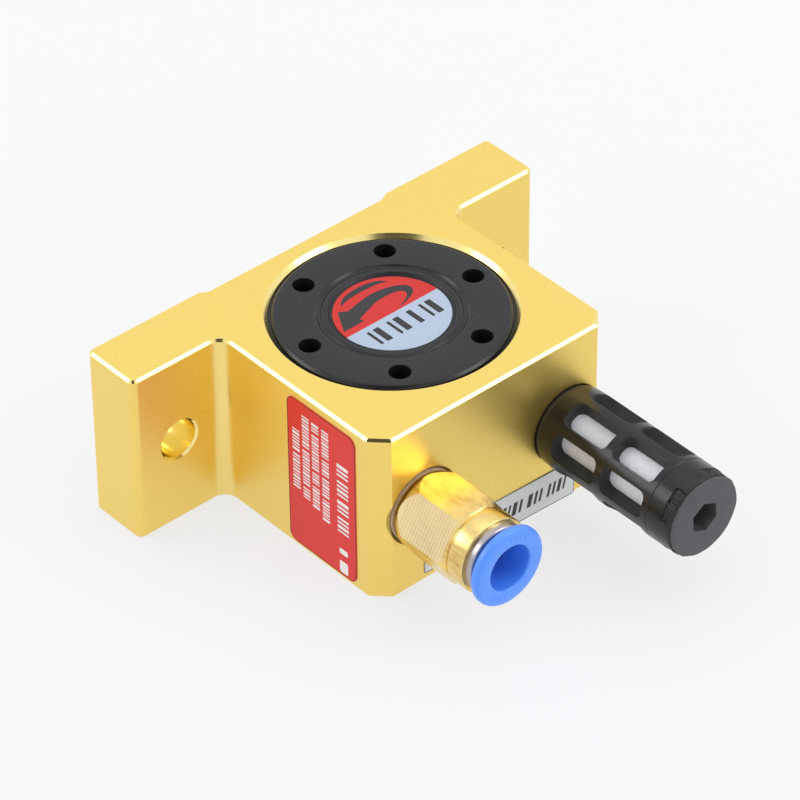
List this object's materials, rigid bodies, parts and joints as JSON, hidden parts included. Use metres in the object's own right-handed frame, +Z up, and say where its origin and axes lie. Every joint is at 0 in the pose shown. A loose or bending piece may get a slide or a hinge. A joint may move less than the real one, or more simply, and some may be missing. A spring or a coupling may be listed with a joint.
{
  "type": "air turbine vibrator",
  "caption": "Golden aluminium air turbine vibrator block with bolt lugs, screwed black end covers, push-in tube inlet and plastic exhaust silencer.",
  "frame": {"origin": "on the mounting face, midway between the two bolt holes and at mid height", "axes": "+X along the two lugs, +Y straight out of the mounting face, +Z up along the rotor's axis; the two air ports face -Y"},
  "size_m": [0.086, 0.0814, 0.0324],
  "materials": {
    "gold_anodised": "satin gold anodised over a fine blasted grain, bright cut edges",
    "black_anodised": "satin black anodised",
    "milled_aluminium": "milled",
    "bright_steel": "ground",
    "black_rubber": "matt",
    "cage_plastic": "moulded",
    "turned_brass": "bare brass, machined, with tool ridges on its flats",
    "thread_sealant": "dull pale coat",
    "nickel_plate": "nickel plated, satin",
    "blue_plastic": "glossy moulded",
    "black_plastic": "semi-gloss moulded",
    "white_porous": "sintered porous, matt",
    "cap_plastic": "matt moulded",
    "round_label_print": "printed film, red and pale halves",
    "red_label_print": "printed film with white marks",
    "silver_label_print": "silver film with black marks"
  },
  "bodies": {
    "block": {"housing": "gold_anodised", "top_cover": "black_anodised", "bottom_cover": "black_anodised", "top_cover_o_ring": "black_rubber", "bottom_cover_o_ring": "black_rubber", "bearing_preload_washer": "bright_steel", "upper_bearing_outer_ring": "bright_steel", "upper_bearing_shields": "bright_steel", "lower_bearing_outer_ring": "bright_steel", "lower_bearing_shields": "bright_steel", "fitting_body": "turned_brass", "fitting_thread_sealant": "thread_sealant", "fitting_tube_seal": "black_rubber", "fitting_grab_ring": "bright_steel", "fitting_guide_ring": "nickel_plate", "silencer_body": "black_plastic", "silencer_element": "white_porous", "silencer_end_cap": "cap_plastic", "rotation_label": "round_label_print", "side_label": "red_label_print", "front_label": "silver_label_print"},
    "rotor": {"turbine_rotor": "milled_aluminium", "rotor_shaft": "bright_steel", "unbalance_weights": "bright_steel", "upper_bearing_inner_ring": "bright_steel", "lower_bearing_inner_ring": "bright_steel"},
    "upper_ball_set": {"upper_bearing_balls": "bright_steel", "upper_bearing_cage": "cage_plastic"},
    "lower_ball_set": {"lower_bearing_balls": "bright_steel", "lower_bearing_cage": "cage_plastic"},
    "collet": {"release_collet": "blue_plastic"}
  },
  "joints": [
    {"name": "rotor_spin", "type": "hinge", "parent": "block", "child": "rotor", "pos_m": [0, -0.02475, 0], "axis": [0, 0, 1], "continuous": true},
    {"name": "upper_cage_spin", "type": "hinge", "parent": "block", "child": "upper_ball_set", "pos_m": [0, -0.02475, 0.0095], "axis": [0, 0, 1], "continuous": true},
    {"name": "lower_cage_spin", "type": "hinge", "parent": "block", "child": "lower_ball_set", "pos_m": [0, -0.02475, -0.0095], "axis": [0, 0, 1], "continuous": true},
    {"name": "collet_press", "type": "slide", "parent": "block", "child": "collet", "axis": [0, 1, 0], "range_m": [0, 0.0009]}
  ],
  "couplings": [
    {"joint": "upper_cage_spin", "follows": "rotor_spin", "ratio": 0.37},
    {"joint": "lower_cage_spin", "follows": "rotor_spin", "ratio": 0.37}
  ]
}
